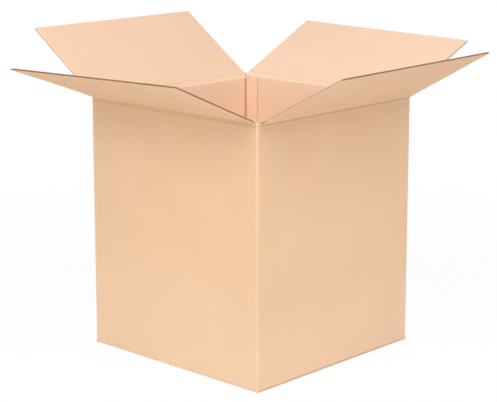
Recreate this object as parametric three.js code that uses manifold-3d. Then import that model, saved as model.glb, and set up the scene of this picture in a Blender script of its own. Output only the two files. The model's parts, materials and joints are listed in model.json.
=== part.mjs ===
// An open corrugated shipping box: a square carton of single-wall board that stands upright with
// its four top flaps folded outwards. Millimetres, +Z up. The origin is on the floor, under the
// middle of the box. The walls face -Y (front), +X (right), +Y (back) and -X (left).
import * as THREE from "three";
import { mergeGeometries, mergeVertices } from "three/addons/utils/BufferGeometryUtils.js";
import Module from "manifold-3d";

const wasm = await Module();
wasm.setup();

// Space inside the closed box: along X, along Y and from bottom to lid.
const INSIDE_WIDTH = 457;
const INSIDE_LENGTH = 457;
const INSIDE_DEPTH = 508;

// The board: two flat liners with a waved medium between them.
const BOARD = 4;
const LINER = 0.5;
const MEDIUM = 0.5;
const MEDIUM_LEG = 0.7; // across the flat of the board, where the medium slants
const FLUTE_PITCH = 7.8;
const FLUTE_LEAN = 0.55; // sideways run of the medium for each millimetre of its height

// The cut and scored sheet.
const FLAP_LENGTH = 225; // from the score to the free edge
const SLOT_WIDTH = 10; // between two neighbouring flaps
const FOLD_RADIUS = 4.5; // outside of a folded edge
const TAB_WIDTH = 35;
const TAB_SET_BACK = 5; // from the scores to the ends of the glue tab, at its fold
const TAB_TAPER = 8; // how much shorter each end of the tab is at its free edge

// The gummed paper tape under the bottom seam.
const TAPE_WIDTH = 70;
const TAPE_THICKNESS = 0.25;
const TAPE_SET_BACK = 2; // from the ends of the seam to the ends of the tape

// Clearances.
const HINGE_GAP = 0.3; // from a top flap's score line to the board on either side
const LAYER_GAP = 0.3; // between two flaps that lie on each other
const CREASE_ANGLE = 46; // degrees that each side of a score's groove leans back from square

// Degrees that each top flap is folded outwards from upright.
const FRONT_FLAP_ANGLE = 67.5;
const RIGHT_FLAP_ANGLE = 61;
const BACK_FLAP_ANGLE = 64.5;
const LEFT_FLAP_ANGLE = 55;

// Kraft board and paper tape.
const BOARD_COLOR = 0xe2bc94;
const TAPE_COLOR = 0xc9a173;
const ROUGHNESS = 0.9;
const METALNESS = 0;
const FOLD_STEPS = 5; // facets round a folded edge

// The side walls carry the inner flaps, which fold first at either end, so their scores lie one
// layer inside the scores of the outer flaps on the front and back walls.
const HALF_X = INSIDE_WIDTH / 2 + BOARD;
const HALF_Y = INSIDE_LENGTH / 2 + BOARD;
const OUTER_BOTTOM = TAPE_THICKNESS;
const INNER_BOTTOM = OUTER_BOTTOM + BOARD + LAYER_GAP;
const INNER_TOP = INNER_BOTTOM + BOARD + INSIDE_DEPTH + BOARD;
const OUTER_TOP = INNER_TOP + BOARD + LAYER_GAP;
const FLAP_HALF_X = HALF_X - SLOT_WIDTH / 2;
const FLAP_HALF_Y = HALF_Y - SLOT_WIDTH / 2;
const CREASE_SLOPE = Math.tan(THREE.MathUtils.degToRad(CREASE_ANGLE));

// The plain stretch of the walls lies between the foot and the head strips, and laps them.
const STRIP = 3 * BOARD;
const FOOT = INNER_BOTTOM + STRIP;
const HEAD = INNER_TOP - STRIP;
const LAP = BOARD / 2;

// Turns about Z from the front wall to each wall.
const FRONT = 0;
const RIGHT = Math.PI / 2;
const BACK = Math.PI;
const LEFT = -Math.PI / 2;

const material = (color) =>
  new THREE.MeshStandardMaterial({ color, roughness: ROUGHNESS, metalness: METALNESS });

function solidOf(geometry) {
  const bare = new THREE.BufferGeometry();
  const loose = geometry.index ? geometry.toNonIndexed() : geometry;
  bare.setAttribute("position", loose.getAttribute("position"));
  const merged = mergeVertices(bare, 1e-4);
  return new wasm.Manifold(
    new wasm.Mesh({
      numProp: 3,
      vertProperties: merged.attributes.position.array,
      triVerts: new Uint32Array(merged.index.array),
    }),
  );
}

function geometryOf(solid) {
  const { vertProperties, triVerts } = solid.getMesh();
  const geometry = new THREE.BufferGeometry();
  geometry.setAttribute("position", new THREE.BufferAttribute(vertProperties, 3));
  geometry.setIndex(new THREE.BufferAttribute(triVerts, 1));
  const faceted = geometry.toNonIndexed();
  faceted.computeVertexNormals();
  return faceted;
}

const extrude = (shape, depth) =>
  new THREE.ExtrudeGeometry(shape, { depth, bevelEnabled: false, curveSegments: FOLD_STEPS });

const polygon = (points) => points.map(([x, y]) => new THREE.Vector2(x, y));

function block([x0, x1], [y0, y1], [z0, z1]) {
  const geometry = new THREE.BoxGeometry(x1 - x0, y1 - y0, z1 - z0);
  return solidOf(geometry.translate((x0 + x1) / 2, (y0 + y1) / 2, (z0 + z1) / 2));
}

// The outside of the box in plan. The sheet is folded round three corners. At the fourth, the
// left wall folds on into the glue tab behind the back wall, whose raw edge stops at that fold.
function outsideOutline() {
  const [x, y] = [HALF_X - FOLD_RADIUS, HALF_Y - FOLD_RADIUS];
  const outside = new THREE.Shape();
  outside.moveTo(-x, -HALF_Y);
  outside.lineTo(x, -HALF_Y);
  outside.absarc(x, -y, FOLD_RADIUS, -Math.PI / 2, 0);
  outside.lineTo(HALF_X, y);
  outside.absarc(x, y, FOLD_RADIUS, 0, Math.PI / 2);
  outside.lineTo(-x, HALF_Y);
  outside.lineTo(-x, HALF_Y - BOARD);
  outside.absarc(-x, y - BOARD, FOLD_RADIUS, Math.PI / 2, Math.PI);
  outside.lineTo(-HALF_X, -y);
  outside.absarc(-x, -y, FOLD_RADIUS, Math.PI, 1.5 * Math.PI);
  return outside;
}

const filledBox = (z0, z1) => solidOf(extrude(outsideOutline(), z1 - z0).translate(0, 0, z0));

function walls(z0, z1) {
  const [x, y] = [HALF_X - BOARD, HALF_Y - BOARD];
  return filledBox(z0, z1).subtract(block([-x, x], [-y, y], [z0 - LAP, z1 + LAP]));
}

// A profile of (distance in from the wall's outer face, height), run along one wall.
function alongWall(profile, turn, faceDistance, halfRun) {
  const geometry = extrude(profile, 2 * halfRun);
  geometry.rotateX(Math.PI / 2).rotateZ(Math.PI / 2); // (in, height, run) becomes (run, in, height)
  geometry.translate(-halfRun, -faceDistance, 0);
  return solidOf(geometry.rotateZ(turn));
}

// The foot of a wall and its bottom flap, folded square round the outer radius.
function footProfile(bottom) {
  const profile = new THREE.Shape();
  profile.moveTo(0, FOOT + LAP);
  profile.lineTo(0, bottom + FOLD_RADIUS);
  profile.absarc(FOLD_RADIUS, bottom + FOLD_RADIUS, FOLD_RADIUS, Math.PI, 1.5 * Math.PI);
  profile.lineTo(FLAP_LENGTH, bottom);
  profile.lineTo(FLAP_LENGTH, bottom + BOARD);
  profile.lineTo(BOARD, bottom + BOARD);
  profile.lineTo(BOARD, FOOT + LAP);
  return profile;
}

// The head of a wall, which slopes down and inwards from the score line as one side of its groove.
function headProfile(top) {
  const points = [
    [0, HEAD - LAP],
    [0, top - HINGE_GAP],
    [BOARD, top - HINGE_GAP - BOARD * CREASE_SLOPE],
    [BOARD, HEAD - LAP],
  ];
  return new THREE.Shape(polygon(points));
}

// The glue tab on the inner face of the back wall, tapered at both ends. It is sunk into that
// wall and into the left wall, as the glue and the fold make them one.
function glueTab() {
  const low = INNER_BOTTOM + BOARD + TAB_SET_BACK;
  const high = INNER_TOP - TAB_SET_BACK;
  const points = [
    [-HALF_X + LAP, low],
    [-HALF_X + TAB_WIDTH, low + TAB_TAPER],
    [-HALF_X + TAB_WIDTH, high - TAB_TAPER],
    [-HALF_X + LAP, high],
  ];
  const geometry = extrude(new THREE.Shape(polygon(points)), BOARD + LAP).rotateX(Math.PI / 2);
  return solidOf(geometry.translate(0, HALF_Y - BOARD + LAP, 0));
}

// The four walls, the glue tab and the four bottom flaps: one folded sheet.
function cartonBody() {
  const [farX, farY, allZ] = [[-2 * HALF_X, 2 * HALF_X], [-2 * HALF_Y, 2 * HALF_Y], [0, OUTER_TOP]];
  const corners = walls(INNER_BOTTOM, INNER_TOP)
    .subtract(block([-FLAP_HALF_X, FLAP_HALF_X], farY, allZ))
    .subtract(block(farX, [-FLAP_HALF_Y, FLAP_HALF_Y], allZ));
  let body = walls(FOOT, HEAD).add(corners).add(glueTab());
  for (const turn of [FRONT, BACK]) {
    body = body.add(alongWall(footProfile(OUTER_BOTTOM), turn, HALF_Y, FLAP_HALF_X));
    body = body.add(alongWall(headProfile(OUTER_TOP), turn, HALF_Y, FLAP_HALF_X));
  }
  for (const turn of [RIGHT, LEFT]) {
    body = body.add(alongWall(footProfile(INNER_BOTTOM), turn, HALF_X, FLAP_HALF_Y));
    body = body.add(alongWall(headProfile(INNER_TOP), turn, HALF_X, FLAP_HALF_Y));
  }
  return geometryOf(body.intersect(filledBox(OUTER_BOTTOM, OUTER_TOP)));
}

// The hollows between the flutes and the liners of a flap, as channels that run out of both ends.
// Each flute leaves two: one under its crest, on the outer liner, and one over its trough, on the
// inner liner.
function fluteChannels(halfWidth) {
  const depth = BOARD - 2 * LINER - MEDIUM;
  const base = (FLUTE_PITCH / 2 - MEDIUM_LEG + FLUTE_LEAN * (BOARD - 2 * LINER)) / 2;
  const crown = base - FLUTE_LEAN * depth;
  const channel = (middle, start, end) => {
    const points = [
      [middle - base, start],
      [middle + base, start],
      [middle + crown, end],
      [middle - crown, end],
    ];
    return extrude(new THREE.Shape(polygon(points)), FLAP_LENGTH + 2 * LAP);
  };
  const flutes = Math.floor((2 * halfWidth - 2 * LINER) / FLUTE_PITCH);
  const channels = [];
  for (let i = 0; i < flutes; i++) {
    const left = (i - flutes / 2) * FLUTE_PITCH;
    channels.push(channel(left + FLUTE_PITCH / 4, LINER, LINER + depth));
    channels.push(channel(left + (3 * FLUTE_PITCH) / 4, BOARD - LINER, BOARD - LINER - depth));
  }
  return solidOf(mergeGeometries(channels).translate(0, 0, -LAP));
}

// A top flap, upright above its hinge: X along the hinge, Y inwards from its outer face and Z
// along the flap. Its root slopes up from the score line as the other side of the groove.
function topFlap(halfWidth) {
  const profile = [
    [0, HINGE_GAP],
    [0, FLAP_LENGTH],
    [BOARD, FLAP_LENGTH],
    [BOARD, HINGE_GAP + BOARD * CREASE_SLOPE],
  ];
  const board = alongWall(new THREE.Shape(polygon(profile)), FRONT, 0, halfWidth);
  return geometryOf(board.subtract(fluteChannels(halfWidth)));
}

function addFlap(name, turn, angle, faceDistance, top, halfWidth) {
  const flap = new THREE.Mesh(topFlap(halfWidth), material(BOARD_COLOR));
  flap.name = name;
  flap.position.set(faceDistance * Math.sin(turn), -faceDistance * Math.cos(turn), top);
  flap.rotation.set(THREE.MathUtils.degToRad(angle), 0, turn, "ZXY");
  box.add(flap);
}

const box = new THREE.Group();

const body = new THREE.Mesh(cartonBody(), material(BOARD_COLOR));
body.name = "carton_body";
box.add(body);

addFlap("front_flap", FRONT, FRONT_FLAP_ANGLE, HALF_Y, OUTER_TOP, FLAP_HALF_X);
addFlap("back_flap", BACK, BACK_FLAP_ANGLE, HALF_Y, OUTER_TOP, FLAP_HALF_X);
addFlap("right_flap", RIGHT, RIGHT_FLAP_ANGLE, HALF_X, INNER_TOP, FLAP_HALF_Y);
addFlap("left_flap", LEFT, LEFT_FLAP_ANGLE, HALF_X, INNER_TOP, FLAP_HALF_Y);

const tapeLength = 2 * (FLAP_HALF_X - TAPE_SET_BACK);
const tape = new THREE.Mesh(
  new THREE.BoxGeometry(tapeLength, TAPE_WIDTH, TAPE_THICKNESS),
  material(TAPE_COLOR),
);
tape.position.z = TAPE_THICKNESS / 2;
tape.name = "bottom_tape";
box.add(tape);

export default box;
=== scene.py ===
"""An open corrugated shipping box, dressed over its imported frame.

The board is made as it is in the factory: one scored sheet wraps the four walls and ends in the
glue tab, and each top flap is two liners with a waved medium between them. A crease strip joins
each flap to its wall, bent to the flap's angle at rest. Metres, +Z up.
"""

import json
import math

import bpy
import numpy as np
from mathutils import Matrix, Vector


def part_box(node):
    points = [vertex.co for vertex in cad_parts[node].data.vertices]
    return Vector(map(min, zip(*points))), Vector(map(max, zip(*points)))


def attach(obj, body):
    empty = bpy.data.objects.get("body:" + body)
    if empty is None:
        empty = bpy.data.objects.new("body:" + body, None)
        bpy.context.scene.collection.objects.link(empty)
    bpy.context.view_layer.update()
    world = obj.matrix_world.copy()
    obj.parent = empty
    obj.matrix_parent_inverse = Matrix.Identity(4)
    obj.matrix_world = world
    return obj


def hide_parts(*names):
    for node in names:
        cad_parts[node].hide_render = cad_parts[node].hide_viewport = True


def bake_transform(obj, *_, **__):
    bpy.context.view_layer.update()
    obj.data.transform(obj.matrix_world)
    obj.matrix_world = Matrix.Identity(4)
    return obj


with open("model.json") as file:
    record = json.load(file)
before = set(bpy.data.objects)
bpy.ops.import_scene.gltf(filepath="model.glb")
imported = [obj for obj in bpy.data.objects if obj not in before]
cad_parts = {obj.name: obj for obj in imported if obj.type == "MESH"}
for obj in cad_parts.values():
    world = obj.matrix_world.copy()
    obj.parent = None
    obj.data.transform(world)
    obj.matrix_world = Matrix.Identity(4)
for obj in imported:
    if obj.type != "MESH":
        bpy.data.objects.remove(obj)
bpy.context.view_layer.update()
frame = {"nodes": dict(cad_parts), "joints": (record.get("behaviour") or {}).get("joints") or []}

# The board
BOARD = 0.004
LINER = 0.0005
MEDIUM = 0.0005
FLUTE_PITCH = 0.0078
FLUTE_START = math.pi  # of the wave, at the slot between the front and right flaps
STEPS_PER_FLUTE = 14
OUTSIDE, INSIDE, CUT, FLUTING = range(4)  # the faces of the board, as numbers of its materials

# The sheet's cuts and folds
FLAP_LENGTH = 0.225
FOLD_RADIUS = 0.0045
FOLD_STEPS = 9
SLOT_END = 0.0057  # how far above the lower pair of scores the slots end
SLOT_SIDE = 0.0001  # width of the step in the grid that makes a slot's square side
CORNER_FOOT = 0.0006  # how far above the floor the corners end
CORNER_GROOVE = 0.0018  # depth of the groove that the score leaves in the inner face of a corner
CORNER_REACH = 0.0035  # how far the groove runs into the panels beside a corner
WALL_BULGE = {"front": 0.0009, "right": -0.0007, "back": 0.0008, "left": -0.0009}

# The glue tab, from its fold to its free edge
TAB_WIDTH = 0.038
TAB_GAP = 0.0001  # to the back wall, which it is glued to
TAB_TOP = 0.001  # how far below the lower pair of scores it ends at its fold
TAB_TOP_SLANT = 0.002  # how much lower it ends at its free edge
TAB_FOOT_SLANT = 0.004  # how much higher it starts at its free edge
TAB_CRUSH = 0.0018  # how much thinner it is at its free edge

# The bottom. The outer flaps are pinched at their ends, where the folds of the other two walls
# bear on them. Those folds are pressed tight, and sink by as much as the ends are pinched.
SEAM = 0.0008  # from the middle of the bottom to either outer flap, under the tape
LAYER_GAP = 0.0003  # between the outer and the inner flaps
BOTTOM_END = 0.0006  # from the outer faces of the walls to the ends of the outer flaps
BOTTOM_PINCH = 0.0024
BOTTOM_PINCH_REACH = 0.014  # in from either end
BOTTOM_PINCH_START = 0.01  # from twice the fold's radius to where the pinch is full
PRESSED_FOLD = 0.0025  # radius of the tight folds
PRESSED_SHARE = 0.98  # thickness of the board in a tight fold, as a share of the radius
PRESSED_REACH = 0.006  # how far past the fold the board regains its thickness
SUNK_REACH = 0.03  # how far past the fold the flap regains its height

# The scores
CREASE = 0.005  # from the hinge line to either end of a crease strip
CRUSHED = 0.0014  # thickness of the board on the hinge line
BEND_START = -0.4  # where the bend starts, from -1 at the strip's lower end to 1 at the flap
# How far below the hinge line the scoring wheel has pressed the outer liner, how deep, and the
# distance in which the pressed band ends
BAND = {"front": 0.0068, "right": 0.0078, "back": 0.0078, "left": 0.0078}
BAND_DEPTH = 0.0002
BAND_EDGE = 0.0014
# The wheel's mark, in the depth of its press and in the painted shade line along the band's edge, is
# strongest at the near corner and fades in this distance to the least
MARK_REACH = 0.07
MARK_LEAST = {"front": 0.6, "right": 0.05, "back": 0.05, "left": 0.05}
MARK_AWAY = 0.15  # taken as the distance on the two walls that don't meet at the near corner

# How far each flap's free edge is lifted at its end on the positive side of the hinge, with the
# other end lowered by as much, and how far the whole free edge droops. No corner leaves its plane
# so far towards its neighbour that it would show through it when the flaps are closed.
FLAP_LIFT = {"front": 0.0060, "right": 0.0026, "back": 0.0049, "left": -0.0007}
FLAP_DROOP = {"front": 0.0021, "right": 0.0017, "back": 0.0007, "left": 0.0}
FLAP_CURVE = 1.4  # power of the way from the score that both follow
# How much of the board's thickness the slotting knives have pinched away at each flap's ends, and
# how much the cutter has crushed along every free edge
PINCH = {"front": 0.0, "right": 0.72, "back": 0.35, "left": 0.50}
PINCH_REACH = 0.004
PINCH_START = 0.006  # from the crease strip to where the pinch is full
EDGE_CRUSH = 0.12
CRUSH_REACH = 0.005

# How far the liner's colour is from plain, as painted light and shade: above 0 is painted shade, and
# below 0 is painted light
# Painted light: paler towards the foot of the walls and on the bottom folds, for the white floor's
# bounce
FOOT_PAINTED_LIGHT = -0.30
# Painted light: a paler pressed band below each score, a painted highlight where it faces up a little
BAND_PAINTED_LIGHT = {"front": 0.0, "right": -0.20, "back": -0.10, "left": -0.10}
# Painted shade: a dark line along the lower edge of the pressed band
BAND_EDGE_SHADE = 0.5
BAND_EDGE_WIDTH = 0.0009
INNER_PAINTED_LIGHT = -0.12  # painted light: paler inside the box, for the light that bounces round in it
INNER_TOP_PAINTED_LIGHT = -0.35  # more painted light along the scores, inside the box, that fades the band into the wall
INNER_TOP_WIDTH = 0.014
# Painted shade in the groove of each corner, inside the box
GROOVE_SHADE = 0.45
HOLLOW_PAINTED_LIGHT = -0.45  # painted light in the hollow of a crease strip, against the shade of its dip
RIM_SHADE = 0.50  # a painted shade line beside the hollow
# Places across a crease strip, from -1 at the wall to 1 at the flap: where the band's painted light
# ends, and where the rim of the hollow, with its painted shade line, is and how wide
BAND_FADE = (-0.5, 0.1)
RIM_PLACE = 0.84
RIM_WIDTH = 0.2
# Painted shade on each flap's inner face, most on the left flap
FLAP_INNER_SHADE = {"front": 0.04, "right": 0.04, "back": 0.04, "left": 0.12}
# The painted shade line along each crease: how far above the hinge line, how broad and how dark
LINE_PLACE = {"front": -0.0036, "right": 0.0018, "back": -0.0010, "left": 0.0010}
LINE_WIDTH = {"front": 0.0020, "right": 0.0028, "back": 0.0014, "left": 0.0014}
LINE_SHADE = {"front": 0.18, "right": 0.65, "back": 0.40, "left": 0.40}

# Tones of paper, in the 0 to 255 of a screen
OUTSIDE_TONE = (231, 197, 165)
# paler than the outside: partly the inner liner's own tone, partly painted light on faces that face the
# lamps
INSIDE_TONE = (246, 214, 188)
CUT_TONE = (238, 200, 168)
FLUTING_TONE = (216, 168, 134)
TAPE_TONES = ((208, 168, 122), (188, 146, 100))
# The lightest and deepest liner and its darkest painted shade as shares of its tone, its palest
# painted light as the share of the way from its tone to white, and the deepest cut edge as a
# share of its tone
LIGHT_SHARE = 1.03
DEEP_SHARES = (0.94, 0.895, 0.84)
SHADE_SHARES = (0.78, 0.69, 0.58)
PALE_SHARES = (0.5, 0.35, 0.3)
CUT_SHARE = 0.86
# How far the liner is on the way from its lightest to its deepest tone, and how much that varies
MIDDLE_SHADE = 0.34
FIBRE_SHADE = 0.30
CLOUD_SHADE = 0.30
SPECK_SHADE = 0.16
# Painted shade of the washboard: stripes of the flutes' relief in the liner's colour
OUTER_FLUTE_SHADE = 0.012
INNER_FLUTE_SHADE = 0.008

# The light of the surroundings on the object, and the lamps: place, size and watts
AMBIENT = 0.27
LAMPS = (
    ("left_lamp", (0.4, -3.5, 2.2), 2.2, 47.0),
    ("right_lamp", (3.6, -0.2, 1.6), 2.2, 18.0),
    ("high_left_lamp", (0.3, -2.9, 3.2), 2.2, 43.0),
    ("high_right_lamp", (2.9, -0.3, 3.2), 2.2, 63.0),
    ("front_lamp", (2.3, -2.5, 2.4), 2.2, 6.0),
    ("back_lamp", (-2.6, 2.8, 2.6), 2.6, 45.0),
    ("low_back_lamp", (-3.0, 3.0, 0.9), 2.0, 24.0),
)
LAMP_AIM = (0, 0, 0.3)
# How white the camera sees the floor whatever its light, close to the box, and the distances
# between which that rises to 1
FLOOR_WHITE = 0.93
FLOOR_NEAR = 0.7
FLOOR_FAR = 2.2

# The photograph's frame and the camera worked out from it
FRAME_WIDTH = 497  # pixels
FOCAL_LENGTH = 1566.8  # pixels
RAISE = 50.0  # pixels that the picture is raised by the lens shift
CAMERA_PLACE = (2.1776, -2.3282, 1.0375)
CAMERA_HEADING = math.radians(133.20)  # from +X, anticlockwise
CAMERA_TILT = math.radians(11.14)  # downwards

SHARP = math.radians(40)  # turns between faces that are shaded as edges
body_low, body_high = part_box("carton_body")
HALF_X = body_high.x
HALF_Y = body_high.y
FLAP_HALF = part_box("front_flap")[1].x
OUTER_BOTTOM = body_low.z
INNER_BOTTOM = OUTER_BOTTOM + BOARD + LAYER_GAP
UP = np.array([0.0, 0.0, 1.0])


class Side:
    """One wall and its top flap: the hinge, the direction across the flutes, the direction into
    the box, the angle that the flap is folded outwards at rest, and the height of the underside
    of its bottom flap."""

    def __init__(self, name, bottom):
        joint = next(j for j in frame["joints"] if j["name"] == name + "_flap_hinge")
        self.name = name
        self.body = joint["child"]
        self.hinge = np.array(joint["pos_m"], float)
        self.across = -np.array(joint["axis"], float)
        self.inward = np.cross(UP, self.across)
        self.angle = math.radians(joint["range_deg"][1] - 90)
        self.top = self.hinge[2]
        self.bottom = bottom
        self.centre = 0.0  # of the panel, along the sheet; set when the sheet is laid out

    def upright(self, across, depth, height):
        """Points of the wall: distance across the flutes, depth from the outer face into the box,
        and height from the hinge line."""
        across, depth, height = (a[..., None] for a in np.broadcast_arrays(across, depth, height))
        return self.hinge + across * self.across + depth * self.inward + height * UP

    def turned(self, across, depth, along, angle):
        """The same points turned outwards about the hinge line by an angle, which may differ from
        point to point."""
        cosine, sine = np.cos(angle), np.sin(angle)
        return self.upright(across, depth * cosine - along * sine, depth * sine + along * cosine)

    def on_sheet(self, across, up):
        """The places of points on the unfolded sheet: along it, and up from the outer walls' foot."""
        return np.stack(np.broadcast_arrays(self.centre + across, up), -1)


front = Side("front", OUTER_BOTTOM)
right = Side("right", INNER_BOTTOM)
back = Side("back", OUTER_BOTTOM)
left = Side("left", INNER_BOTTOM)
SIDES = (front, right, back, left)
INNER_TOP = right.top


def smooth(t):
    """Smooth step: 0 below 0, 1 above 1, and 3 t squared minus 2 t cubed between."""
    t = np.clip(t, 0.0, 1.0)
    return t * t * (3 - 2 * t)


def bell(t):
    """Bell curve: e to the power of minus t squared."""
    return np.exp(-(t**2))


def quarter(start):
    """Directions round a quarter circle, anticlockwise from an angle in degrees."""
    angle = np.radians(np.linspace(start, start + 90, FOLD_STEPS))
    return np.stack([np.cos(angle), np.sin(angle)], -1)


def run(path):
    """Distance along a path, from its first point to each point."""
    return np.concatenate([[0], np.cumsum(np.linalg.norm(np.diff(path, axis=0), axis=1))])


def spaced(half, near, inset, count):
    """Places from -half to half: some near each end, and an even count from inset to inset."""
    even = np.linspace(inset, 2 * half - inset, count)
    return np.concatenate([near, even, 2 * half - near[::-1]]) - half


class Mesh:
    """Gathers closed sheets of board, and turns them into one object."""

    def __init__(self):
        self.points, self.quads, self.flat, self.finish, self.wear = [], [], [], [], []
        self.count = 0

    def slab(self, outer, inner, flat, finish=(OUTSIDE, INSIDE, CUT), wear=0.0, inner_painted_shade=0.0):
        """A closed sheet between two grids of points: the outer face, the inner face and a rim
        round their four edges, wound so that each face points away from the other. flat holds
        each grid point's place on the unfolded sheet, and finish the materials of the outer
        face, the inner face and the rim. The two values of painted light and shade darken a face
        with painted shade above 0, and pale it with painted light below 0."""
        rows, columns = outer.shape[:2]
        size = rows * columns
        index = np.arange(size).reshape(rows, columns)
        corners = (index[:-1, :-1], index[:-1, 1:], index[1:, 1:], index[1:, :-1])
        face = np.stack(corners, -1).reshape(-1, 4)
        rim = np.concatenate([index[0], index[1:, -1], index[-1, -2::-1], index[-2:0:-1, 0]])
        after = np.roll(rim, -1)
        sides = np.stack([after, rim, rim + size, after + size], -1)
        quads = np.concatenate([face, face[:, ::-1] + size, sides])
        across = outer[:-1, 1:] - outer[:-1, :-1]
        along = outer[1:, :-1] - outer[:-1, :-1]
        if np.sum(np.cross(across, along) * (outer - inner)[:-1, :-1]) < 0:
            quads = quads[:, ::-1]
        self.points.append(np.concatenate([outer.reshape(-1, 3), inner.reshape(-1, 3)]))
        self.quads.append(quads + self.count)
        self.flat.append(np.tile(flat.reshape(-1, 2), (2, 1)))
        self.finish.append(np.repeat(finish, (len(face), len(face), len(sides))))
        for shaded in (wear, inner_painted_shade):
            self.wear.append(np.broadcast_to(shaded, (rows, columns)).ravel())
        self.count += 2 * size

    def make(self, name):
        points, quads = np.concatenate(self.points), np.concatenate(self.quads)
        flat = np.concatenate(self.flat)[quads.ravel()]
        mesh = bpy.data.meshes.new(name)
        mesh.from_pydata(points.tolist(), [], quads.tolist())
        uv = mesh.uv_layers.new(name="sheet")
        uv.data.foreach_set("uv", flat.astype(np.float32).ravel())
        # the painted light and shade of each point, which the liner's material reads
        shaded = mesh.attributes.new("wear", "FLOAT", "POINT")
        shaded.data.foreach_set("value", np.concatenate(self.wear).astype(np.float32))
        for material in BOARD_FINISH:
            mesh.materials.append(material)
        mesh.polygons.foreach_set("material_index", np.concatenate(self.finish).astype(np.int32))
        mesh.polygons.foreach_set("use_smooth", np.ones(len(quads), bool))
        mesh.set_sharp_from_angle(angle=SHARP)
        mesh.update()
        made = bpy.data.objects.new(name, mesh)
        bpy.context.scene.collection.objects.link(made)
        return made


class Value:
    """One number per shaded point. The operators add the Math nodes that they stand for."""

    def __init__(self, paint, socket):
        self.paint, self.socket = paint, socket

    def __add__(self, other):
        return self.paint.math("ADD", self, other)

    def __sub__(self, other):
        return self.paint.math("SUBTRACT", self, other)

    def __rsub__(self, other):
        return self.paint.math("SUBTRACT", other, self)

    def __mul__(self, other):
        return self.paint.math("MULTIPLY", self, other)

    __radd__ = __add__
    __rmul__ = __mul__

    def above(self, low, high):
        """0 up to low, 1 from high, and smooth between."""
        sockets = {"Value": self, "From Min": low, "From Max": high}
        node = self.paint.node("ShaderNodeMapRange", {"interpolation_type": "SMOOTHSTEP"}, sockets)
        return self.paint.value(node, "Result")


class Paint:
    """The node tree of a new material or world, its owner."""

    def __init__(self, owner):
        self.owner = owner
        owner.use_nodes = True
        self.tree = owner.node_tree
        self.tree.nodes.clear()

    def node(self, kind, settings=None, sockets=None):
        """Any node: its type, its settings, which are set first, and the values or links of its
        sockets."""
        node = self.tree.nodes.new(kind)
        for setting, value in (settings or {}).items():
            setattr(node, setting, value)
        for socket, value in (sockets or {}).items():
            value = getattr(value, "socket", value)
            if isinstance(value, bpy.types.NodeSocket):
                self.tree.links.new(value, node.inputs[socket])
            else:
                node.inputs[socket].default_value = value
        return node

    def value(self, node, output=0):
        return Value(self, node.outputs[output])

    def math(self, operation, *terms):
        return self.value(self.node("ShaderNodeMath", {"operation": operation}, dict(enumerate(terms))))

    def noise(self, vector, scale, detail=2.0, roughness=0.5):
        sockets = {"Vector": vector, "Scale": scale, "Detail": detail, "Roughness": roughness}
        return self.value(self.node("ShaderNodeTexNoise", None, sockets), "Fac")

    def mix(self, share, first, second):
        """Colour between first and second."""
        settings = {"data_type": "RGBA", "clamp_factor": True}
        return self.node("ShaderNodeMix", settings, {0: share, 6: first, 7: second}).outputs[2]

    def finish(self, **sockets):
        """The material, with a Principled shader whose sockets are named in lower case."""
        shader = self.node("ShaderNodeBsdfPrincipled", None, sockets_of(sockets))
        output = self.node("ShaderNodeOutputMaterial")
        self.tree.links.new(shader.outputs[0], output.inputs["Surface"])
        return self.owner


def sockets_of(named):
    """Keyword names to socket names: base_color is Base Color."""
    return {name.replace("_", " ").title().replace("Ior", "IOR"): v for name, v in named.items()}


def linear(tone):
    """A colour given in the 0 to 255 of a screen, as linear light."""
    screen = np.array(tone) / 255
    light = np.where(screen <= 0.04045, screen / 12.92, ((screen + 0.055) / 1.055) ** 2.4)
    return (*light.tolist(), 1.0)


def kraft_board(name, tone, flute_shade):
    """Kraft liner: fibres that lie across the flutes, a soft mottle, the flutes showing faintly
    through as a washboard, in the bump and in painted shade, and the sheet's painted light and
    shade, which also make the liner a little smoother where they darken it."""
    paint = Paint(bpy.data.materials.new(name))
    sheet = paint.node("ShaderNodeUVMap", {"uv_map": "sheet"}).outputs[0]
    across = paint.value(paint.node("ShaderNodeSeparateXYZ", None, {0: sheet}), "X")
    stretch = {"Vector": sheet, "Scale": (1.0, 5.0, 1.0)}
    fibre_field = paint.node("ShaderNodeMapping", None, stretch).outputs[0]
    fibres = paint.noise(fibre_field, scale=420.0, detail=4.0, roughness=0.65)
    cloud = paint.noise(sheet, scale=9.0, detail=3.0, roughness=0.55)
    specks = paint.noise(fibre_field, scale=900.0, detail=1.0).above(0.68, 0.78)
    ridge = paint.math("SINE", across * (2 * math.pi / FLUTE_PITCH))
    # painted light and shade: above 0 darker, below 0 paler; it also makes the liner a little smoother
    wear = paint.value(paint.node("ShaderNodeAttribute", {"attribute_name": "wear"}), "Fac")
    mottle = (fibres - 0.5) * FIBRE_SHADE + (cloud - 0.5) * CLOUD_SHADE + specks * SPECK_SHADE
    tone = np.array(tone)
    light_tone = linear(np.minimum(255, LIGHT_SHARE * tone))
    deep_tone = linear(DEEP_SHARES * tone)
    shade_tone = linear(SHADE_SHARES * tone)
    pale_tone = linear(tone + PALE_SHARES * (255 - tone))
    color = paint.mix(MIDDLE_SHADE + (mottle + ridge * flute_shade), light_tone, deep_tone)
    color = paint.mix(wear, color, shade_tone)
    color = paint.mix(wear * -1.0, color, pale_tone)
    height = fibres * 0.35 + ridge * 0.2
    sockets = {"Strength": 0.35, "Distance": 0.00012, "Height": height}
    bump = paint.node("ShaderNodeBump", None, sockets).outputs[0]
    return paint.finish(
        base_color=color,
        roughness=0.86 - wear * 0.1,
        specular_ior_level=0.25,
        normal=bump,
    )


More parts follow.
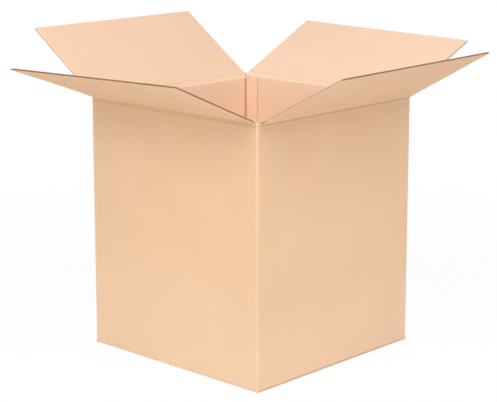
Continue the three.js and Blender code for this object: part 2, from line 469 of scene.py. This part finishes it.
def cut_board(name, tone):
    """A raw cut through paper: darker and rougher than its face, in streaks."""
    paint = Paint(bpy.data.materials.new(name))
    place = paint.node("ShaderNodeTexCoord").outputs["Object"]
    grain = paint.noise(place, scale=1500.0, detail=3.0, roughness=0.6)
    color = paint.mix(grain, linear(tone), linear(CUT_SHARE * np.array(tone)))
    return paint.finish(base_color=color, roughness=0.95, specular_ior_level=0.1)


def paper_tape():
    """Gummed kraft tape: browner and smoother than the board."""
    paint = Paint(bpy.data.materials.new("gummed_tape"))
    place = paint.node("ShaderNodeTexCoord").outputs["Object"]
    threads = paint.noise(place, scale=700.0, detail=3.0, roughness=0.6)
    color = paint.mix(threads, *(linear(tone) for tone in TAPE_TONES))
    return paint.finish(base_color=color, roughness=0.6, specular_ior_level=0.35)


BOARD_FINISH = (
    kraft_board("kraft_outside", OUTSIDE_TONE, OUTER_FLUTE_SHADE),
    kraft_board("kraft_inside", INSIDE_TONE, INNER_FLUTE_SHADE),
    cut_board("cut_edge", CUT_TONE),
    cut_board("fluting", FLUTING_TONE),
)


def wall_foot(side):
    """Height of the lowest point of a wall's bottom fold, and the fold's outer radius."""
    if side.bottom == OUTER_BOTTOM:
        return side.bottom, FOLD_RADIUS
    return side.bottom - BOTTOM_PINCH, PRESSED_FOLD


def wall_rows():
    """Shares of a wall's height, close together near its foot and at the pressed band."""
    below_top = np.array([60, 25, 12, 7, 4.4, 3.6, 2.8, 2.0, 1.0, 0]) / 1000
    top = 1 - below_top / (INNER_TOP - INNER_BOTTOM)
    return np.concatenate([[0, 0.01, 0.03], np.linspace(0.08, 0.84, 16), top])


def panel_columns(start, end):
    """Places across a wall from start to end: even, close together near the corners, and in pairs
    at the ends of the flap, so that the slots are cut square."""
    flap_ends = (-FLAP_HALF - SLOT_SIDE, -FLAP_HALF, FLAP_HALF, FLAP_HALF + SLOT_SIDE)
    near = np.array([0.7, 1.5, 2.4, 3.4, 4.5]) / 1000
    across = np.concatenate([np.linspace(start, end, 40), flap_ends, start + near, end - near])
    return np.unique(across[(across >= start) & (across <= end)])


def crease_mark(side, across):
    """How strongly the lower edge of the score shows on the wall, in the depth of its press and in
    its painted shade line: 1 at the near corner, which is the front wall's right end and the right
    wall's left end, falling exponentially to least."""
    away = np.full_like(across, MARK_AWAY)
    if side is front:
        away = HALF_X - across
    if side is right:
        away = HALF_Y + across
    least = MARK_LEAST[side.name]
    return least + (1 - least) * np.exp(-away / MARK_REACH)


def groove_near(across, *corners):
    """The groove of the scores beside a panel: 1 at a corner and 0 from the groove's reach."""
    away = np.min([np.abs(across - corner) for corner in corners], axis=0)
    return 1 - smooth(away / CORNER_REACH)


def wrapped_sheet(mesh):
    """The sheet round the walls, from the glue tab's free edge to the back wall's raw edge. Each
    column has a foot on the outer face, an inward direction, a top and a bottom. The outer grid
    is the feet, carried up the column, and the inner grid lies the board's thickness inwards.
    The other numbers of a column are the wall's bulge, 1 where it carries a flap, how strong the
    score's mark is, where the pressed band ends, its painted light, and the groove of a corner."""
    x, y = HALF_X - FOLD_RADIUS, HALF_Y - FOLD_RADIUS
    slot_end = INNER_TOP + SLOT_END
    numbers = ("top", "bottom", "bulge", "carries", "mark", "band", "band_wear", "groove")
    columns = {name: [] for name in ("foot", "inward", *numbers)}
    panels = []

    def add(foot, inward, **rest):
        columns["foot"].append(foot)
        columns["inward"].append(inward)
        for name in numbers:
            columns[name].append(np.broadcast_to(rest.get(name, 0.0), len(foot)))

    def fold(centre, start):
        """A corner. Its first and last columns belong to the panels on either side."""
        outward = quarter(start)[1:-1]
        foot = np.array(centre) + FOLD_RADIUS * outward
        add(foot, -outward, top=slot_end, bottom=CORNER_FOOT, groove=1.0)

    def panel(side, start, end):
        across = panel_columns(start, end)
        carries = np.abs(across) <= FLAP_HALF + SLOT_SIDE / 100
        panels.append((side, sum(len(f) for f in columns["foot"]), across))
        add(
            side.upright(across, 0.0, 0.0)[:, :2],
            np.tile(side.inward[:2], (len(across), 1)),
            top=np.where(carries, side.top - CREASE, slot_end),
            bottom=np.where(carries, sum(wall_foot(side)), CORNER_FOOT),
            bulge=WALL_BULGE[side.name] * np.cos(across / HALF_X * math.pi / 2) ** 1.5,
            carries=np.where(carries, 1.0, 0.0),
            mark=crease_mark(side, across),
            band=BAND[side.name],
            band_wear=BAND_PAINTED_LIGHT[side.name],
            groove=groove_near(across, start, end),
        )

    tab_share = np.array([1, 0.93, 0.85, 0.7, 0.5, 0.3, 0.1, 0.06, 0.03, 0])
    tab_x = -x + (TAB_WIDTH - FOLD_RADIUS) * tab_share
    tab_y = np.full(len(tab_x), HALF_Y - BOARD - TAB_GAP)
    add(
        np.stack([tab_x, tab_y], -1),
        np.tile([0.0, -1.0], (len(tab_x), 1)),
        top=INNER_TOP - TAB_TOP - TAB_TOP_SLANT * tab_share,
        bottom=INNER_BOTTOM + BOARD + TAB_FOOT_SLANT * tab_share,
        groove=groove_near(tab_x, -x),
    )
    fold((-x, y - BOARD), 90)
    panel(left, -(y - BOARD), y)
    fold((-x, -y), 180)
    panel(front, -x, x)
    fold((x, -y), 270)
    panel(right, -y, y)
    fold((x, y), 0)
    panel(back, -x, x)

    foot, inward = np.concatenate(columns["foot"]), np.concatenate(columns["inward"])
    top, bottom, bulge, carries, mark, band, band_wear, groove = (
        np.concatenate(columns[name]) for name in numbers
    )
    length = run(foot)
    for side, first, across in panels:
        side.centre = length[first] - across[0]

    height = bottom + (top - bottom) * wall_rows()[:, None]
    up = np.clip((height - INNER_BOTTOM) / (INNER_TOP - INNER_BOTTOM), 0, 1)
    bulge = bulge * np.sin(up * math.pi)
    below = top + CREASE - height
    thinner = CORNER_GROOVE * groove
    thinner[: len(tab_x)] += TAB_CRUSH * smooth(tab_share * 2 - 1)

    in_band = carries * (1 - smooth((below - band) / BAND_EDGE + 0.5))
    # where the painted shade line runs along the band's lower edge
    band_edge = carries * bell((below - band) / BAND_EDGE_WIDTH)
    # painted light in the pressed band
    wear = BAND_EDGE_SHADE * mark * band_edge + band_wear * in_band
    # painted light, paler towards the foot of the walls
    wear = wear + FOOT_PAINTED_LIGHT * smooth(1 - up * 2)
    # painted light inside the box, strongest just below the scores
    near_top = INNER_PAINTED_LIGHT + INNER_TOP_PAINTED_LIGHT * bell(below / INNER_TOP_WIDTH)

    def grid(depth):
        plan = foot + inward * np.broadcast_to(depth, height.shape)[..., None]
        return np.concatenate([plan, height[..., None]], -1)

    # inside: painted shade in the corners' grooves, painted light elsewhere
    mesh.slab(
        grid(bulge + BAND_DEPTH * mark * in_band),
        grid(bulge + BOARD - thinner),
        np.stack(np.broadcast_arrays(length, height - OUTER_BOTTOM), -1),
        wear=wear,
        inner_painted_shade=GROOVE_SHADE * groove**4 + near_top * (1 - groove),
    )


def bottom_fold(mesh, side):
    """The foot of a wall, its fold and its bottom flap, as a path run across the panel: down the
    wall, a quarter circle of the outer radius, and in to the free edge. The inner grid lies the
    board's thickness to the inside of the path, or less where the fold is too tight for that. An
    outer flap is pinched at its ends, and the other two flaps climb back to their height from the
    folds that have sunk by as much."""
    is_outer = side.bottom == OUTER_BOTTOM
    low, radius = wall_foot(side)
    outward = quarter(180)
    near = np.array([1, 2, 4, 6, 9]) / 1000
    flap_end = HALF_Y - SEAM if is_outer else FLAP_LENGTH
    reach = np.concatenate([near, np.linspace(0.014, flap_end - radius, 28)])
    fold = np.array([radius, low + radius]) + radius * outward
    climb = low + (side.bottom - low) * smooth(reach / SUNK_REACH)
    path = np.concatenate([fold, np.stack([radius + reach, climb], -1)])
    inwards = np.concatenate([-outward, np.tile([0.0, 1.0], (len(reach), 1))])
    tight = np.concatenate([np.ones(len(fold)), 1 - smooth(reach / PRESSED_REACH)])[:, None]
    thick = BOARD - tight * max(0.0, BOARD - PRESSED_SHARE * radius)
    half = HALF_X - BOTTOM_END if is_outer else FLAP_HALF
    across = spaced(half, np.array([0, 2, 4, 7, 10, 14, 20]) / 1000, 0.03, 24)
    if is_outer:
        from_end = half - np.abs(across)
        past_fold = smooth((path[:, :1] - 2 * FOLD_RADIUS) / BOTTOM_PINCH_START)
        thick = thick - BOTTOM_PINCH * (1 - smooth(from_end / BOTTOM_PINCH_REACH)) * past_fold

    def grid(depth):
        depth = np.broadcast_to(depth, (len(path), len(across)))[..., None]
        place = path[:, None, :] + inwards[:, None, :] * depth
        return side.upright(across, place[..., 0], place[..., 1] - side.top)

    flat = side.on_sheet(across, -run(path)[:, None])
    # the painted light of the walls' foot, over the whole fold and bottom flap
    mesh.slab(grid(0.0), grid(thick), flat, wear=FOOT_PAINTED_LIGHT)


def carton():
    mesh = Mesh()
    wrapped_sheet(mesh)
    for side in SIDES:
        bottom_fold(mesh, side)
    made = mesh.make("carton_sheet")
    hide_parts("carton_body")
    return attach(made, "carton")


def flap_lift(side, across, along):
    """How far a flap stands off its plane, on its inner side: its free edge droops, with one end
    lifted and the other lowered, as a power of the way from the score."""
    way = np.clip((along - CREASE) / (FLAP_LENGTH - CREASE), 0, 1) ** FLAP_CURVE
    return (FLAP_LIFT[side.name] * (across / FLAP_HALF) - FLAP_DROOP[side.name]) * way


def squeezed(side, across, along, depth):
    """Depth in the board after the knives have pinched its ends and crushed its free edge. The
    board keeps its middle plane, and its thickness falls smoothly over the last few millimetres."""
    from_end = FLAP_HALF - np.abs(across)
    at_end = 1 - smooth(from_end / PINCH_REACH)
    pinch = PINCH[side.name] * at_end * smooth((along - CREASE) / PINCH_START)
    crush = EDGE_CRUSH * (1 - smooth((FLAP_LENGTH - along) / CRUSH_REACH))
    return BOARD / 2 + (depth - BOARD / 2) * (1 - pinch) * (1 - crush)


def top_flap(side):
    """Outer liner, medium and inner liner, each a closed sheet from the crease strip to the free
    edge. The medium is a cosine wave across the flap that touches both liners."""
    mesh = Mesh()
    near = np.array([0, 1, 2, 3, 5]) / 1000
    rows = np.concatenate([np.linspace(CREASE, 0.19, 10), [0.205], FLAP_LENGTH - near[::-1]])[:, None]

    def layer(across, low, high, finish, inner_painted_shade=0.0):
        across = across[None, :]
        lift = flap_lift(side, across, rows)
        outer, inner = (
            side.turned(across, squeezed(side, across, rows, depth) + lift, rows, side.angle)
            for depth in (low, high)
        )
        flat = side.on_sheet(across, side.top - OUTER_BOTTOM + rows)
        mesh.slab(outer, inner, flat, finish, inner_painted_shade=inner_painted_shade)

    plain = spaced(FLAP_HALF, near, 0.01, 88)
    steps = int(2 * FLAP_HALF / FLUTE_PITCH * STEPS_PER_FLUTE)
    waved = np.linspace(-FLAP_HALF, FLAP_HALF, steps + 1)
    from_slot = side.centre + waved - front.centre - FLAP_HALF
    phase = 2 * math.pi * from_slot / FLUTE_PITCH + FLUTE_START
    rise = (BOARD - 2 * LINER - MEDIUM) / 2
    slope = rise * 2 * math.pi / FLUTE_PITCH * np.sin(phase)
    middle = BOARD / 2 + rise * np.cos(phase)
    half_thick = MEDIUM / 2 * np.sqrt(1 + slope**2)
    low, high = (np.clip(middle + way * half_thick, LINER, BOARD - LINER) for way in (-1, 1))
    layer(plain, 0.0, LINER, (OUTSIDE, FLUTING, CUT))
    layer(waved, low, high, (FLUTING, FLUTING, FLUTING))
    # the inner liner carries its flap's painted shade
    layer(plain, BOARD - LINER, BOARD, (FLUTING, INSIDE, CUT), FLAP_INNER_SHADE[side.name])
    made = mesh.make(side.name + "_flap_board")
    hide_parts(side.name + "_flap")
    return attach(made, side.body)


def crease_strip(side):
    """The pressed board along a score, bent about the hinge line. Flat, it is a strip whose inner
    face dips to the crushed thickness on the hinge line. Each point is then turned outwards by a
    share of the flap's angle that rises smoothly from 0, a little below the hinge line, to 1 at
    the flap."""
    mesh = Mesh()
    share = np.linspace(-1, 1, 21)[:, None]
    across = np.linspace(-FLAP_HALF, FLAP_HALF, 91)[None, :]
    along = share * CREASE
    dip = (BOARD - CRUSHED) * (1 - share**2) ** 1.5
    press = BAND_DEPTH * crease_mark(side, across) * (1 - smooth(share))
    bend = side.angle * smooth((share - BEND_START) / (1 - BEND_START))
    outer = side.turned(across, press, along, bend)
    inner = side.turned(across, BOARD - dip, along, bend)
    # painted shade line along the crease, on the strip's outer face
    line = LINE_SHADE[side.name] * bell((along - LINE_PLACE[side.name]) / LINE_WIDTH[side.name])
    fade_start, fade_end = BAND_FADE
    # painted light in the strip's share of the pressed band
    band = BAND_PAINTED_LIGHT[side.name] * (1 - smooth((share - fade_start) / (fade_end - fade_start)))
    # inside the strip: a painted shade line on the rim, beside a hollow paled with painted light
    rim = RIM_SHADE * bell((share - RIM_PLACE) / RIM_WIDTH)
    hollow = HOLLOW_PAINTED_LIGHT * (1 - share**2)
    flat = side.on_sheet(across, side.top - OUTER_BOTTOM + along)
    mesh.slab(outer, inner, flat, wear=line + band, inner_painted_shade=rim + hollow)
    made = mesh.make(side.name + "_flap_crease")
    half_angle = side.angle / 2
    above = side.turned(0.0, 0.0, CREASE * math.cos(half_angle), half_angle) - side.hinge
    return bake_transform(made, "carton", side.body, side.hinge - above, side.hinge + above)


carton()
for side in SIDES:
    top_flap(side)
    crease_strip(side)
frame["nodes"]["bottom_tape"].data.materials.clear()
frame["nodes"]["bottom_tape"].data.materials.append(paper_tape())


def seen(paint):
    """1 for what the camera sees, straight or by way of a gloss or glass, and 0 for what lights
    the object."""
    path = paint.node("ShaderNodeLightPath")
    rays = ("Is Camera Ray", "Is Glossy Ray", "Is Transmission Ray")
    straight, glossy, through = (paint.value(path, ray) for ray in rays)
    return paint.math("MAXIMUM", straight, paint.math("MAXIMUM", glossy, through))


def white_floor():
    """A matt white floor. To the camera most of it is white light, and all of it far from the
    box, so that it reads white where it is lit and keeps a pale shadow under the box."""
    paint = Paint(bpy.data.materials.new("white_floor"))
    matt = paint.node("ShaderNodeBsdfDiffuse", None, {"Color": (0.95, 0.95, 0.95, 1)}).outputs[0]
    light = paint.node("ShaderNodeEmission", None, {"Strength": 1.0}).outputs[0]
    place = paint.node("ShaderNodeTexCoord").outputs["Object"]
    length = paint.node("ShaderNodeVectorMath", {"operation": "LENGTH"}, {0: place})
    far = paint.value(length, "Value").above(FLOOR_NEAR, FLOOR_FAR)
    share = seen(paint) * (FLOOR_WHITE + (1 - FLOOR_WHITE) * far)
    mixed = paint.node("ShaderNodeMixShader", None, {0: share, 1: matt, 2: light})
    paint.node("ShaderNodeOutputMaterial", None, {"Surface": mixed.outputs[0]})
    return paint.owner


def studio():
    """A white floor and surroundings, and large soft lamps in front of the box and behind it."""
    bpy.ops.mesh.primitive_plane_add(size=60)
    floor = bpy.context.object
    floor.name = "floor"
    floor.data.materials.append(white_floor())

    world = bpy.data.worlds.new("studio")
    bpy.context.scene.world = world
    paint = Paint(world)
    strength = AMBIENT + seen(paint) * (1 - AMBIENT)
    around = paint.node("ShaderNodeBackground", None, {"Color": (1, 1, 1, 1), "Strength": strength})
    paint.node("ShaderNodeOutputWorld", None, {"Surface": around.outputs[0]})

    for name, place, size, power in LAMPS:
        lamp = bpy.data.lights.new(name, "AREA")
        lamp.size = size
        lamp.energy = power
        holder = bpy.data.objects.new(name, lamp)
        holder.location = place
        aim = Vector(LAMP_AIM) - holder.location
        holder.rotation_euler = aim.to_track_quat("-Z", "Y").to_euler()
        bpy.context.scene.collection.objects.link(holder)


def camera():
    data = bpy.data.cameras.new("camera")
    data.sensor_width = 36.0
    data.lens = FOCAL_LENGTH / FRAME_WIDTH * data.sensor_width
    data.shift_y = -RAISE / FRAME_WIDTH
    made = bpy.data.objects.new("camera", data)
    level = math.cos(CAMERA_TILT)
    heading = Vector(
        (
            math.cos(CAMERA_HEADING) * level,
            math.sin(CAMERA_HEADING) * level,
            -math.sin(CAMERA_TILT),
        )
    )
    turn = heading.to_track_quat("-Z", "Y").to_matrix().to_4x4()
    made.matrix_world = Matrix.Translation(CAMERA_PLACE) @ turn
    bpy.context.scene.collection.objects.link(made)
    bpy.context.scene.camera = made


studio()
camera()
bpy.context.scene.view_settings.view_transform = "Standard"
